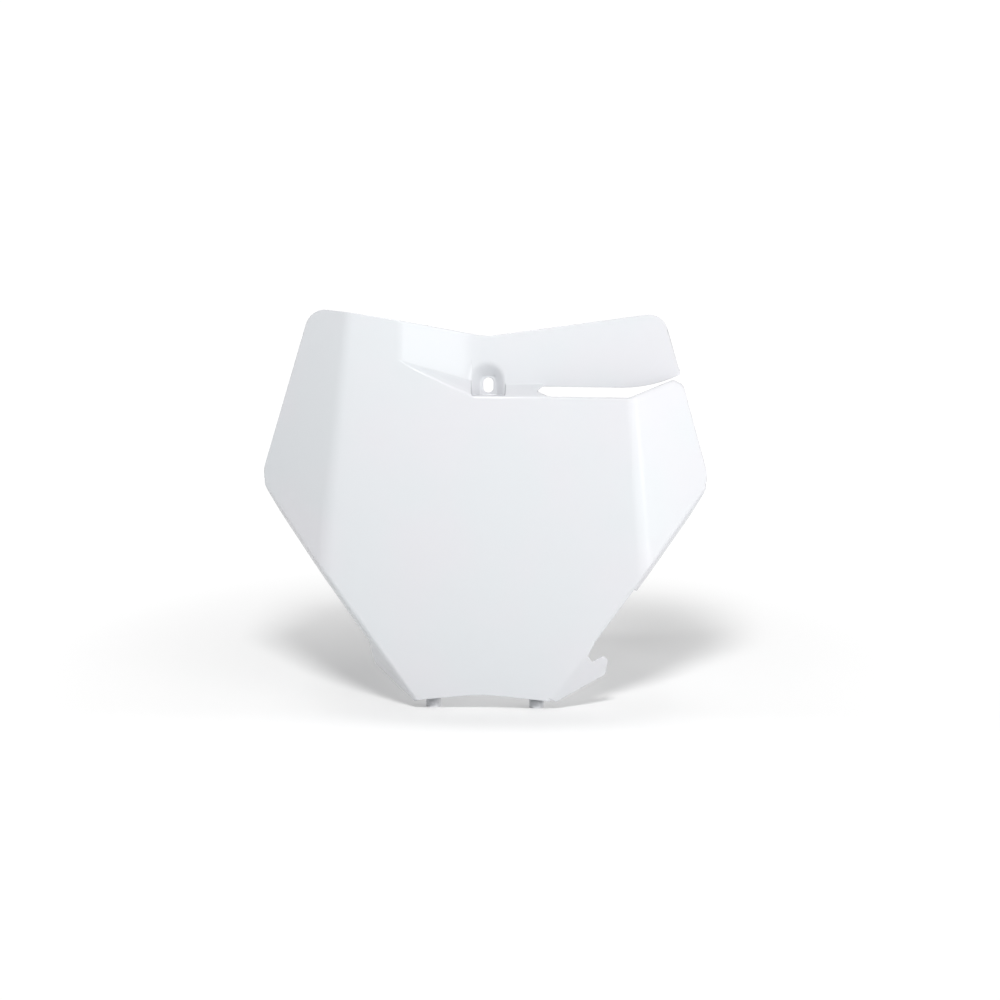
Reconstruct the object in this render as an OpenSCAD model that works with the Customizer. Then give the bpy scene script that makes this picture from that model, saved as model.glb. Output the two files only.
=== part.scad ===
/* [Outline] */
// Half the width between the two side tips, before they are rounded
tip_half = 132.3; // [128:0.1:138]
// How far the side tips lie below the screw slot
tip_drop = 56.2; // [50:0.1:62]
// Radius of the side tips
tip_r = 21; // [10:0.5:26]
// Half the width between the top corners, before they are rounded
top_half = 102.9; // [98:0.1:108]
// Height of the top corners above the screw slot
top_rise = 43.6; // [41:0.1:48]
// Radius of the top corners
top_r = 11.5; // [4:0.5:14]
// Height of the notch in the middle of the top edge above the screw slot
notch_rise = 28; // [25:0.1:32]
// Radius at the bottom of that notch
notch_r = 35; // [10:1:60]
// Half the width of the bottom edge
foot_half = 39; // [36:0.1:42]
// How far the bottom corners lie below the screw slot
foot_drop = 182.9; // [178:0.1:186]
// Height at which the two halves of the bottom edge would meet, above its corners
foot_rise = 3.9; // [2:0.1:6]
// Radius in the middle of the bottom edge
foot_mid_r = 100; // [40:5:200]
// Radius of the bottom corners
foot_r = 2; // [1:0.5:4]

/* [Sheet] */
// Wall thickness of the whole moulding
wall = 2.3; // [1.8:0.1:2.8]
// Radius of the crown across the face
crown_r = 800; // [500:10:2000]
// Half the width of the face at its top, where the bends to the wings start
bend_half = 76.5; // [72:0.1:80]
// How much further out the bends start for each millimetre down
bend_lean = 0.072; // [0.03:0.001:0.1]
// Angle of the wings, swept back from the plane of the face
wing_angle = 30; // [22:0.5:36]
// Radius of the bend at the top corners
bend_r_top = 15; // [8:0.5:24]
// Radius of the bend at the bottom corners
bend_r_foot = 33; // [20:0.5:44]

/* [Rolled edges] */
// Outer radius where the lower edges roll back
roll_r = 3.2; // [3:0.1:4.5]
// Angle that the rolled edges splay outwards
splay = 17.5; // [8:0.5:20]
// Depth of a rolled edge at its lower end
roll_low = 7.8; // [6:0.1:12]
// Depth of a rolled edge at the side tip
roll_tip = 4.6; // [3.6:0.1:8]
// Where the right rolled edge ends, along the edge from the bottom corner
roll_end = 80; // [70:0.5:95]
// Depth of the left rolled edge at the bottom corner
roll_foot = 2.8; // [2.4:0.1:4]
// Depth of the steadying tab at the bottom left
tab_depth = 28.5; // [18:0.5:34]
// Where the deepest point of that tab lies, along the edge
tab_at = 29; // [24:0.5:34]
// Length over which the tab runs out into the rolled edge
tab_run = 13.5; // [8:0.5:20]

/* [Hose hook] */
// Angle that the hook arm bends back from the face
arm_angle = 35; // [20:1:50]
// Outer radius of the arm's bend
arm_r = 4.5; // [3:0.1:6]
// How far the arm reaches out from the edge
arm_reach = 17; // [14:0.5:20]
// Where the arm's outer end lies, along the edge
arm_at = 31; // [28:0.5:34]
// How far the hook's tip rises above the arm's outer end, along the edge
hook_rise = 8; // [6:0.5:10]
// Distance of the hook's tip from the edge of the face
mouth = 9; // [8:0.1:10]
// Width of the mouth at its inner end
throat = 4.4; // [3.5:0.1:5]
// Width of the hook's tip
hook_w = 3.6; // [3:0.1:4.5]

/* [Recess for the hose] */
// Depth of the recessed strip at the foot of the ramp
strip_depth = 15; // [12:0.5:18]
// Angle that the strip falls back towards the right
strip_angle = 4; // [2:0.5:6]
// Where the ramp down to the strip starts, left of the middle
ramp_start = 50; // [44:0.5:56]
// Where the ramp reaches the strip, left of the middle
ramp_end = 8.6; // [6:0.1:12]
// How far the lip of the face lies below the screw slot
lip_drop = 7.4; // [6:0.1:9]
// Angle that the ledge behind the lip rises, going back
ledge_angle = 24; // [14:1:30]
// Where the crease up to the left leaves the lip, left of the middle
crease_x = 6.4; // [6:0.1:14]
// Angle at which that crease climbs to the left
crease_angle = 23.5; // [18:0.5:32]
// Angle that the wall under that crease leans, going back
crease_lean = 27; // [24:1:40]

/* [Hose slot] */
// Where the slot's pointed inner end lies, right of the middle
slot_start = 29.7; // [24:0.1:34]
// Length of that pointed end
slot_nose = 8.3; // [6:0.1:10]
// Where the strip's lower edge starts to curve up, right of the middle
slot_curve = 78; // [74:0.5:84]
// Radius of that curve
slot_r = 80; // [60:1:110]
// Where the wing's upper edge turns up, right of the middle
slot_turn = 82.5; // [78:0.5:88]
// Angle of the wing's upper edge from there on
slot_angle = 23.5; // [20:0.5:25]

/* [Screw seat] */
// Depth of the screw seat behind the front of the face
seat_depth = 21; // [19:0.1:24]
// Radius of the pocket's arch at the strip
pocket_r = 9.6; // [8.5:0.1:11]
// Radius of the arch at the seat
seat_r = 4.8; // [4.7:0.1:6]
// Width of the slotted screw hole
hole_w = 5.8; // [5:0.1:6.6]
// Length of the slotted screw hole, end to end
hole_l = 8.9; // [7.5:0.1:10]
// How far the screw hole and the pegs stand right of the outline's middle
mount_shift = 1.2; // [0:0.1:3]

/* [Pegs] */
// Distance between the two pegs
peg_spacing = 59.6; // [50:0.1:62]
// Diameter of a peg
peg_d = 8.4; // [6:0.1:9]
// How far the pegs reach below the bottom corners
peg_reach = 6.1; // [4:0.1:12]
// Depth of the pegs' axes behind the front of the face
peg_depth = 9.5; // [9:0.1:13]
// Height of the webs that carry a peg
web_h = 20; // [12:0.5:30]
// Thickness of those webs and of the shelf between them
web_t = 2; // [1.5:0.1:2.5]

/* [Hidden] */
$fn = 64;
beyond = 20;
top_z = top_rise + beyond;
low_z = -foot_drop - beyond;
rear_y = 75;
arc_steps = 6;
crown_steps = 14;
overlap = 3.5;
pocket_rise = 3.6;
seat_rise = 0.6;
shelf_rise = 4.4;
peg_bevel = 0.8;
peg_margin = 1;

// The lower edge is one straight line on the outline, from the bottom corner to the side tip.
foot = [foot_half, -foot_drop];
tip = [tip_half, -tip_drop];
edge_length = norm(tip - foot);
edge_dir = (tip - foot) / edge_length;
edge_out = [edge_dir[1], -edge_dir[0]];
function on_edge(s, n) = foot + s * edge_dir + n * edge_out;

// Depth of the sheet's front surface: a crown, then a bend, then a flat wing on each side.
function bend_start(z) = bend_half + bend_lean * (top_rise - z);
function bend_r(z) = bend_r_top + (bend_r_foot - bend_r_top) * (top_rise - z) / (top_rise + foot_drop);
function crown(u) = crown_r - sqrt(crown_r * crown_r - u * u);
function bend_point(z, a) =
    let (ua = bend_start(z), aa = asin(ua / crown_r), r = bend_r(z))
    [ua + r * (sin(a) - sin(aa)), crown(ua) + r * (cos(aa) - cos(a))];
function depth(x, z) =
    let (u = abs(x), ua = bend_start(z), r = bend_r(z), aa = asin(ua / crown_r),
         last = bend_point(z, wing_angle))
    u <= ua ? crown(u)
    : u < last[0] ? crown(ua) + r * cos(aa) - sqrt(r * r - pow(u - ua + r * sin(aa), 2))
    : last[1] + (u - last[0]) * tan(wing_angle);
function front(p) = [p[0], depth(p[0], p[1]), p[1]];
function unit(v) = v / norm(v);
function facing(p) =
    let (h = 0.05, du = depth(p[0] + h, p[1]) - depth(p[0] - h, p[1]),
         dz = depth(p[0], p[1] + h) - depth(p[0], p[1] - h))
    unit([du, -2 * h, dz]);
function inset(p, t) = front(p) - t * facing(p);
function mirrored(list) = [for (p = list) [-p[0], p[1], p[2]]];

// Points round the rolled edge at the place s along it: the arc, then the far end of the flange.
function rolled(s, angle, r, t, back) =
    let (q = front(on_edge(s, 0)), h = 0.5,
         along = unit(front(on_edge(s + h, 0)) - front(on_edge(s - h, 0))),
         out = [edge_out[0], 0, edge_out[1]],
         flange = cos(angle) * [0, 1, 0] + sin(angle) * out,
         nf = facing(on_edge(s, 0)), cr = unit(cross(along, flange)),
         ng = cr * out > 0 ? cr : -cr,
         turn = acos(nf * ng), middle = q - r * (nf + ng) / (1 + nf * ng),
         arc = [for (k = [0:arc_steps]) let (a = turn * k / arc_steps)
             middle + (r - t) * (sin(turn - a) * nf + sin(a) * ng) / sin(turn)],
         end = arc[arc_steps])
    concat(arc, [end + flange * (back - end[1]) / cos(angle)]);

// Places along the edge where its section is taken: sparse on the face, close together over the bend.
bend_at = (bend_start(-foot_drop) - foot_half) / (edge_dir[0] + bend_lean * edge_dir[1]);
bend_long = (bend_point(-foot_drop, wing_angle)[0] - bend_start(-foot_drop)) / edge_dir[0];
low_s = -beyond / edge_dir[1];
edge_stations = concat(
    [for (i = [0:6]) low_s + (bend_at - low_s) * i / 6],
    [for (i = [1:6]) bend_at + bend_long * i / 6],
    [edge_length + beyond]);

function top_row(t, z) = concat(
    [for (i = [0:crown_steps]) inset([bend_start(z) * (2 * i / crown_steps - 1), z], t)],
    [for (side = [-1, 1], i = [1:arc_steps])
        let (a0 = asin(bend_start(z) / crown_r), a = a0 + (wing_angle - a0) * i / arc_steps)
        inset([side * bend_point(z, a)[0], z], t)]);
function wing_ends(t, z, back) = [for (side = [-1, 1], last = [false, true])
    let (p = inset([side * (tip_half + beyond), z], t)) last ? [p[0], back, p[2]] : p];
function low_row(t, z) =
    let (u = on_edge(low_s, 0)[0]) [for (i = [-2:2]) inset([u * i / 3, z], t)];

// Everything behind the front of the sheet, inside its rolled edges; t sets how far in it starts.
module body(t) {
    out = t > 0 ? 1 : 0;
    sides = [for (s = edge_stations) each rolled(s, splay, roll_r, t, rear_y + out)];
    row = top_z + out;
    pts = concat(sides, mirrored(sides), top_row(t, row), wing_ends(t, row, rear_y + out),
                 low_row(t, low_z - out));
    hull() polyhedron(points = pts, faces = [[for (i = [0:len(pts) - 1]) i]]);
}

// The same behind the face and the arm of the hook, which leaves the face at its own angle.
module arm_body(t) {
    out = t > 0 ? 1 : 0;
    side = [for (i = [0:6]) each rolled(low_s + (bend_at - low_s) * i / 6, 90 - arm_angle, arm_r, t,
                                        rear_y + out)];
    inner = [for (i = [0:4]) each [inset([foot_half * i / 4, top_z - foot_drop + out], t),
                                   inset([foot_half * i / 4, low_z - out], t)]];
    rear = [for (i = [0, 1]) [0, rear_y + out, i == 0 ? low_z - out : top_z - foot_drop + out]];
    pts = concat(side, inner, rear);
    hull() polyhedron(points = pts, faces = [[for (i = [0:len(pts) - 1]) i]]);
}

// A prism along the depth, its shape drawn as seen from the front.
module through(y0 = -beyond, y1 = rear_y + beyond) {
    translate([0, y1, 0]) rotate([90, 0, 0]) linear_extrude(y1 - y0) children();
}

// All the space on the near side of a plane at distance d along the direction n.
room = 2 * (tip_half + foot_drop);
module half_space(n, d, size = room) {
    rotate([0, acos(n[2] / norm(n)), atan2(n[1], n[0])])
        translate([-size / 2, -size / 2, d - size]) cube(size);
}

// A corner of an outline made round: the arc from one side's tangent point to the other's.
function corner(a, b, c, r, steps = 10) =
    let (p = unit(a - b), q = unit(c - b), half = acos(p * q) / 2, reach = r / tan(half),
         m = b + unit(p + q) * r / sin(half), start = b + p * reach - m, end = b + q * reach - m,
         turn = 180 - 2 * half)
    [for (k = [0:steps]) let (share = k / steps)
        m + (sin(turn * (1 - share)) * start + sin(turn * share) * end) / sin(turn)];
function flip(list) = [for (i = [len(list) - 1:-1:0]) [-list[i][0], list[i][1]]];

notch = [0, notch_rise];
shoulder = [top_half, top_rise];
foot_mid = [0, foot_rise - foot_drop];

module outline() {
    half = concat(
        corner(notch, shoulder, tip, top_r),
        corner(shoulder, tip, foot, tip_r),
        corner(tip, foot, foot_mid, foot_r, arc_steps));
    polygon(concat(corner([-top_half, top_rise], notch, shoulder, notch_r), half,
                   corner(foot, foot_mid, [-foot_half, -foot_drop], foot_mid_r, arc_steps), flip(half)));
}

// The room beside the lower edge for a rolled edge, from the place s0 on; it narrows towards the side tip.
tip_tangent = edge_length - tip_r * tan(acos(unit(shoulder - tip) * edge_dir) / 2);
run_out = 8;
module beside(s0) {
    polygon([on_edge(s0, -overlap), on_edge(tip_tangent, -overlap), on_edge(tip_tangent, 0),
             on_edge(tip_tangent - run_out, roll_r), on_edge(tip_tangent - run_out, rear_y),
             on_edge(s0, rear_y)]);
}

// Depth of the rolled edge's rear rim below the sheet's own front.
function rim(s) =
    let (share = min(1, max(0, (s - tab_at - tab_run) / (edge_length - tab_at - tab_run))))
    depth(on_edge(s, 0)[0], on_edge(s, 0)[1]) + roll_low + (roll_tip - roll_low) * share;
function rim_points(s0, n) =
    [for (i = [0:n]) let (s = s0 + (edge_length + beyond - s0) * i / n) [s, rim(s)]];
tab_flat = [3.5, -1.5];
foot_y = depth(foot_half, -foot_drop);
tab_points = let (start = [0, foot_y + roll_foot], peak = [tab_at, foot_y + tab_depth],
                  far = peak + tab_flat, end = [tab_at + tab_run, rim(tab_at + tab_run)])
    concat([start - [beyond, 0], start], corner(start, peak, far, 2, arc_steps),
           corner(peak, far, end, 4, arc_steps),
           corner(far, end, end + [beyond, 0], 6, arc_steps));

// Cuts a rolled edge back to its rear rim, looking square at the flange.
module rim_cut(points) {
    multmatrix([[edge_dir[0], 0, edge_out[0], foot[0]], [0, 1, 0, 0],
                [edge_dir[1], 0, edge_out[1], foot[1]]])
        translate([0, 0, -beyond / 2]) linear_extrude(2 * beyond)
            polygon(concat(points, [[edge_length + beyond, rear_y + beyond], [-beyond, rear_y + beyond]]));
}

// Planes of the recess, each as its outward direction and its distance.
strip_dir = [-sin(strip_angle), cos(strip_angle), 0];
strip_at = [-ramp_end, strip_depth, 0] * strip_dir;
ramp_angle = atan((strip_depth - crown(ramp_start)) / (ramp_start - ramp_end));
ramp_dir = [-sin(ramp_angle), cos(ramp_angle), 0];
ramp_at = [-ramp_end, strip_depth, 0] * ramp_dir;
ledge_dir = [0, sin(ledge_angle), -cos(ledge_angle)];
ledge_at = [0, 0, -lip_drop] * ledge_dir;
crease_dir = [-sin(crease_angle) * cos(crease_lean), sin(crease_lean),
              -cos(crease_angle) * cos(crease_lean)];
crease_at = [-crease_x, 0, -lip_drop] * crease_dir;

// The recess in front of the ramp, the strip and the ledge; t grows it on every side.
module recess(t) {
    intersection() {
        half_space(strip_dir, strip_at + t);
        half_space(ramp_dir, ramp_at + t);
        half_space(ledge_dir, ledge_at + t);
        half_space(crease_dir, crease_at + t);
        half_space([1, 0, 0], slot_turn);
    }
}

// Upper and lower edges of the hose slot; both climb along the wing.
ledge_rise = -lip_drop + strip_depth * tan(ledge_angle);
strip_turn = slot_angle + 1.5;
corner_w = 5.5;
hair = 0.2;
nose_up = slot_nose / 2;
function side_x(z) = top_half + (top_rise - z) * (tip_half - top_half) / (top_rise + tip_drop);
function strip_edge(a) = [slot_curve + slot_r * sin(a), ledge_rise + slot_r * (1 - cos(a))];
function wing_edge(x) = [x, -lip_drop + max(0, x - slot_turn) * tan(slot_angle)];
strip_curve = [for (i = [0:arc_steps]) strip_edge(strip_turn * i / arc_steps)];
wing_tip = wing_edge(side_x(0) - corner_w - 1);

// The part of the recess beside the wing, cut straight back from the wing's upper edge.
module wing_gap() {
    intersection() {
        through() polygon([wing_edge(slot_start + slot_nose), wing_edge(slot_turn),
                           wing_edge(tip_half + beyond), [tip_half + beyond, top_z],
                           [slot_start + slot_nose, top_z]]);
        half_space(strip_dir, strip_at);
    }
}
// The strip's own wall beside the wing.
module strip_wall() {
    intersection() {
        through() polygon(concat([[slot_start + nose_up, ledge_rise - hair]],
            [for (p = strip_curve) p - [0, hair]],
            [[tip_half + beyond, top_z / 2], [tip_half + beyond, top_z], [slot_start + nose_up, top_z]]));
        half_space(strip_dir, strip_at + wall);
    }
}
module hose_slot() {
    last = strip_curve[arc_steps];
    past = wing_tip + [corner_w, -corner_w / 2];
    through() polygon(concat(
        [[slot_start, (ledge_rise - lip_drop) / 2], wing_edge(slot_start + slot_nose)],
        corner(wing_edge(slot_start + slot_nose), wing_edge(slot_turn), wing_tip, 6, arc_steps),
        corner(wing_edge(slot_turn), wing_tip, past, 3, arc_steps),
        [past, past + [beyond, -beyond / 2], [tip_half, top_rise / 2], last + [corner_w / 2, corner_w / 2]],
        [for (i = [arc_steps:-1:0]) strip_curve[i]],
        [[slot_start + nose_up, ledge_rise]]));
}

// The arched pocket that holds the screw's head; t grows it on every side.
module pocket(t) {
    intersection() {
        hull() {
            arch_prism(pocket_r + t, pocket_rise, strip_depth - wall / 2, strip_depth + hair, t);
            arch_prism(seat_r + t, seat_rise, seat_depth + t, seat_depth + t + 1, t);
        }
        half_space([0, 1, 0], seat_depth + t);
    }
    intersection() {
        arch_prism(pocket_r + t, pocket_rise, t > 0 ? 0 : -beyond, strip_depth, t);
        half_space([0, 0, 1], 0);
    }
}
module arch_prism(r, rise, y0, y1, t) {
    translate([mount_shift, 0, 0]) through(y0, y1) {
        translate([0, rise]) circle(r);
        translate([-r, -lip_drop - t]) square([2 * r, rise + lip_drop + t]);
    }
}
module screw_hole() {
    straight = hole_l - hole_w;
    translate([mount_shift, 0, 0]) through() {
        for (side = [-1, 1]) translate([0, side * straight / 2]) circle(d = hole_w);
        square([hole_w, straight], center = true);
    }
}

// A peg under a small shelf, which two webs tie to the back of the face.
module peg(x) {
    top = -foot_drop + shelf_rise;
    reach = peg_depth + peg_d / 2 + peg_margin;
    wide = peg_d + 2 * web_t;
    front_y = crown(peg_spacing / 2) + wall / 2;
    translate([x, 0, 0]) {
        translate([0, peg_depth, -foot_drop - peg_reach]) {
            cylinder(d1 = peg_d - 2 * peg_bevel, d2 = peg_d, h = peg_bevel);
            translate([0, 0, peg_bevel])
                cylinder(d = peg_d, h = shelf_rise + peg_reach - peg_bevel + web_t / 2);
        }
        translate([-wide / 2, front_y, top]) cube([wide, reach - front_y, web_t]);
        for (side = [0, 1]) translate([-wide / 2 + side * (wide - web_t), 0, 0])
            rotate([90, 0, 90]) linear_extrude(web_t)
                polygon([[front_y, top], [reach, top], [reach, top + web_t + peg_margin],
                         [front_y, top + web_h]]);
    }
}

// The hook arm, drawn from the front in steps along the edge and out from it.
arm_foot = [1.6, 2.8];
arm_root = 3;
module hook_arm() {
    above = arm_at + 4 * arm_root;
    inner = on_edge(arm_at + arm_root, arm_foot[0]);
    deep = on_edge(arm_at + arm_root / 2, arm_foot[0] + throat);
    tip_in = on_edge(arm_at + hook_rise, mouth);
    tip_out = on_edge(arm_at + hook_rise, mouth + hook_w);
    outer = on_edge(arm_at, arm_reach);
    low = on_edge(arm_foot[0], arm_foot[1]);
    intersection() {
        difference() {
            arm_body(0);
            arm_body(wall);
        }
        through() polygon(concat(
            [on_edge(0, -overlap), on_edge(above, -overlap), on_edge(above, 0)],
            corner(on_edge(above, 0), inner, deep, 1, arc_steps),
            corner(inner, deep, tip_in, 1, arc_steps),
            corner(deep, tip_in, tip_out, 1.5, arc_steps),
            corner(tip_in, tip_out, outer, 1.5, arc_steps),
            corner(tip_out, outer, low, 2.5, arc_steps),
            [low]));
    }
}

module number_board() {
    color("white") translate([-mount_shift, -seat_depth, 0]) {
        difference() {
            union() {
                intersection() {
                    difference() {
                        body(0);
                        difference() {
                            body(wall);
                            recess(wall);
                            strip_wall();
                            pocket(wall);
                        }
                    }
                    through() union() {
                        outline();
                        beside(roll_end);
                        mirror([1, 0]) beside(0);
                    }
                }
                hook_arm();
            }
            recess(0);
            wing_gap();
            hose_slot();
            pocket(0);
            screw_hole();
            rim_cut(concat([[-beyond, rim(roll_end)]], rim_points(roll_end, crown_steps)));
            mirror([1, 0, 0]) rim_cut(concat(tab_points, rim_points(tab_at + 2 * tab_run, crown_steps)));
        }
        for (side = [-1, 1]) peg(mount_shift + side * peg_spacing / 2);
    }
}

number_board();
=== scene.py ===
import math
import bmesh
import bpy
import numpy as np
from mathutils import Matrix, Vector
from mathutils.geometry import delaunay_2d_cdt


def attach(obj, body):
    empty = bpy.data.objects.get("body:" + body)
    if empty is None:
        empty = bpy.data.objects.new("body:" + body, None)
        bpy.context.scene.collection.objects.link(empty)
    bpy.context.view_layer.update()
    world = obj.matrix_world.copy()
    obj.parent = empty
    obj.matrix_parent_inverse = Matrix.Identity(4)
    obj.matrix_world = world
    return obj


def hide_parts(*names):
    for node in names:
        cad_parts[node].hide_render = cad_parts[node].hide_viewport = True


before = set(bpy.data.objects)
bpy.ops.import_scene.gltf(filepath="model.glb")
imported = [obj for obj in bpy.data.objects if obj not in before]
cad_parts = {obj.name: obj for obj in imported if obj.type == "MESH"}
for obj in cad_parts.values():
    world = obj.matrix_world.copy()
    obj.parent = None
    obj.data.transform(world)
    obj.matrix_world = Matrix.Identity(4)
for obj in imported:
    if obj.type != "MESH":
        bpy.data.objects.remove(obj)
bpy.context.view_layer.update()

scene = bpy.context.scene
toMetres = 0.001  # the board is worked out in millimetres
tiny, nearZero = 1e-6, 1e-12
roundCut = 1 - math.sqrt(0.5)  # how far a quarter round's middle stands in from both sides, over its radius

# Where the photo was taken from.
view = {
    "distance": 1.25,       # metres in front of the face
    "faceY": -0.021,        # where the face's front lies
    "across": 0.0075,       # right of the screw
    "height": -0.0672,      # above the screw
    "widthAtFace": 0.5747,  # what the picture spans at the face
    "roll": 0.62,           # degrees the board leans in the picture
    "sensor": 36.0,         # millimetres
    "clip": (0.05, 20.0),
}


# The lens is long enough that the sensor's width, carried out to the face, spans widthAtFace.
def makeCamera(v):
    cam = bpy.data.cameras.new("photoCamera")
    cam.sensor_width = v["sensor"]
    cam.lens = v["sensor"] * v["distance"] / v["widthAtFace"]
    cam.clip_start, cam.clip_end = v["clip"]
    obj = bpy.data.objects.new("photoCamera", cam)
    scene.collection.objects.link(obj)
    turn = Matrix.Rotation(math.radians(90), 4, "X") @ Matrix.Rotation(math.radians(v["roll"]), 4, "Z")
    obj.matrix_world = Matrix.Translation((v["across"], v["faceY"] - v["distance"], v["height"])) @ turn
    scene.camera = obj


makeCamera(view)
print("camera ready")

# The board in millimetres: x from its middle, z up from the screw, depth counted back from the face's front.
board = {
    "tipHalf": 132.3, "tipDrop": 56.2, "tipRadius": 21.0,
    "topHalf": 102.9, "topRise": 43.6, "topRadius": 11.5,
    "notchRise": 28.0, "notchRadius": 35.0,
    "footHalf": 39.0, "footDrop": 182.9, "footRise": 3.9, "footMidRadius": 100.0,
    "wall": 2.3, "crownRadius": 800.0, "bendHalf": 76.5, "bendLean": 0.072, "wingAngle": 30.0,
    "bendTop": 15.0, "bendFoot": 33.0,
    "rollRadius": 3.2, "splay": 17.5, "rollLow": 7.8, "rollTip": 4.6, "rollEnd": 80.0, "rollFoot": 2.8,
    "tabDepth": 28.5, "tabAt": 29.0, "tabRun": 13.5, "tabFlat": (3.5, -1.5), "fade": 16.0,
    "stripDepth": 15.0, "stripAngle": 4.0, "rampStart": 50.0, "rampEnd": 8.6, "lipDrop": 7.4,
    "ledgeAngle": 24.0, "creaseX": 6.4, "creaseAngle": 23.5, "creaseLean": 27.0,
    "slotStart": 29.7, "slotNose": 8.3, "noseTop": 4.15, "slotCurve": 78.0, "slotRadius": 80.0, "slotTurn": 82.5,
    "slotAngle": 23.5, "wingCorner": 5.5,
    "seatDepth": 21.0, "pocketRadius": 9.6, "seatRadius": 4.8, "pocketRise": 3.6, "seatRise": 0.6,
    "pocketStep": 0.3, "pocketFloor": 14.0, "pocketBlend": (0.5, 0.3), "wallSoft": 1.0, "stripLeast": 0.9,
    "holeWidth": 5.8, "holeLength": 8.9, "shift": 1.2,
    "lipSoft": 3.2, "innerSoft": 1.4, "rampSoft": 1.6, "pocketSoft": 1.6, "seatSoft": 0.8,
    "rearSofts": (0.6, 1.0), "lipRound": 1.6, "wingRounds": (6.0, 3.0), "tabRounds": (2.0, 4.0, 6.0), "tabTail": 20.0,
    "faceRows": 42, "lipBand": 4.8, "wallRows": (16, 10, 8), "leastWall": 1.5, "baseBand": 2.2, "stripRows": 40,
    "stripEase": 1.25, "leanRows": 12.0, "rollRows": (7, 8), "rollStart": 1.2, "leastFlange": 0.2,
    "rollPast": 0.3, "tabBlend": 6.0, "cutTurn": 1.2, "cutReach": 12.0,
}
b = board


# Each vector divided by its length.
def unit(v):
    return v / np.linalg.norm(v, axis=-1, keepdims=True)


# A setting given in degrees, in radians.
def deg(name):
    return math.radians(b[name])


# The corners of the outline, and the slanted lower edge from foot to tip with its outward direction.
foot = np.array([b["footHalf"], -b["footDrop"]])
tip = np.array([b["tipHalf"], -b["tipDrop"]])
edgeLength = np.linalg.norm(tip - foot)
edgeDir = (tip - foot) / edgeLength
edgeOut = np.array([edgeDir[1], -edgeDir[0]])
shoulder = np.array([b["topHalf"], b["topRise"]])
notch = np.array([0.0, b["notchRise"]])
footMid = np.array([0.0, b["footRise"] - b["footDrop"]])
wingTan = math.tan(deg("wingAngle"))
flip = np.array([-1.0, 1.0])


# The point s along the lower edge from the foot and n out from it: foot + s * along + n * outward.
def onEdge(s, n):
    return foot + np.multiply.outer(s, edgeDir) + np.multiply.outer(n, edgeOut)


# A corner made round: the arc of radius r between the two tangent points, turning evenly, as
# centre + (sin(turn - angle) * first radius + sin(angle) * last radius) / sin(turn).
def corner(before, at, after, r, steps=14):
    back, ahead = unit(np.asarray(before) - at), unit(np.asarray(after) - at)
    half = math.acos(float(back @ ahead)) / 2
    mid = at + unit(back + ahead) * r / math.sin(half)
    start, end = at + back * r / math.tan(half) - mid, at + ahead * r / math.tan(half) - mid
    turn = math.pi - 2 * half
    k = np.linspace(0, 1, steps + 1)[:, None]
    return mid + (np.sin(turn * (1 - k)) * start + np.sin(turn * k) * end) / math.sin(turn)


# How far a circle of the crown's radius has dropped back at v from the middle: R - sqrt(R^2 - v^2).
def crown(v):
    return b["crownRadius"] - np.sqrt(b["crownRadius"] ** 2 - v * v)


# Depth of the sheet behind its front: the crown's circle across the face, then a bend of radius r that starts and
# ends in line with its neighbours, then a straight wing.
def depth(x, z):
    u, down = np.abs(x), b["topRise"] - z
    start = b["bendHalf"] + b["bendLean"] * down
    r = b["bendTop"] + (b["bendFoot"] - b["bendTop"]) * down / (b["topRise"] + b["footDrop"])
    first, last = np.arcsin(start / b["crownRadius"]), deg("wingAngle")
    lastX = start + r * (math.sin(last) - np.sin(first))
    lastY = crown(start) + r * (np.cos(first) - math.cos(last))
    inBend = np.clip(r * r - (u - start + r * np.sin(first)) ** 2, 0, None)
    bend = crown(start) + r * np.cos(first) - np.sqrt(inBend)
    wing = lastY + (u - lastX) * wingTan
    return np.where(u <= start, crown(np.minimum(u, start)), np.where(u < lastX, bend, wing))


# The slopes of f over x and over z, each from two values h to either side.
def slopes(f, x, z, h=0.05):
    return (f(x + h, z) - f(x - h, z)) / (2 * h), (f(x, z + h) - f(x, z - h)) / (2 * h)


# The greater of two depths, with a soft fillet where they differ by less than k: max + (1 - |p - q| / k)^2 * k / 4.
def softMax(p, q, k):
    near = np.clip(1 - np.abs(p - q) / k, 0, 1)
    return np.maximum(p, q) + near * near * k / 4


# The lesser of two depths in the same way, as the greater of their negatives turned over.
def softMin(p, q, k):
    return -softMax(-p, -q, k)


# From 0 at low to 1 at high with level ends: 3 t^2 - 2 t^3.
def step(x, low, high):
    t = np.clip((x - low) / (high - low), 0, 1)
    return t * t * (3 - 2 * t)


# The recess behind the face: how steep its parts are, and where the ledge meets the strip.
stripTan = math.tan(deg("stripAngle"))
rampTan = (b["stripDepth"] - float(crown(b["rampStart"]))) / (b["rampStart"] - b["rampEnd"])
ledgeTan, slotTan = math.tan(deg("ledgeAngle")), math.tan(deg("slotAngle"))
ledgeRise = -b["lipDrop"] + b["stripDepth"] * ledgeTan


# The ramp and the strip behind it: the nearer of the two planes, moved back by t square to each.
def strip(x, t=0.0):
    flat = b["stripDepth"] + (x + b["rampEnd"]) * stripTan + t / math.cos(deg("stripAngle"))
    ramp = b["stripDepth"] + (x + b["rampEnd"]) * rampTan + t * math.hypot(1, rampTan)
    return softMin(flat, ramp, b["rampSoft"])


# Height of the face's lip: level, and from slotTurn on it climbs evenly along the wing.
def lipLine(x):
    return -b["lipDrop"] + np.maximum(0, x - b["slotTurn"]) * slotTan


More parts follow.
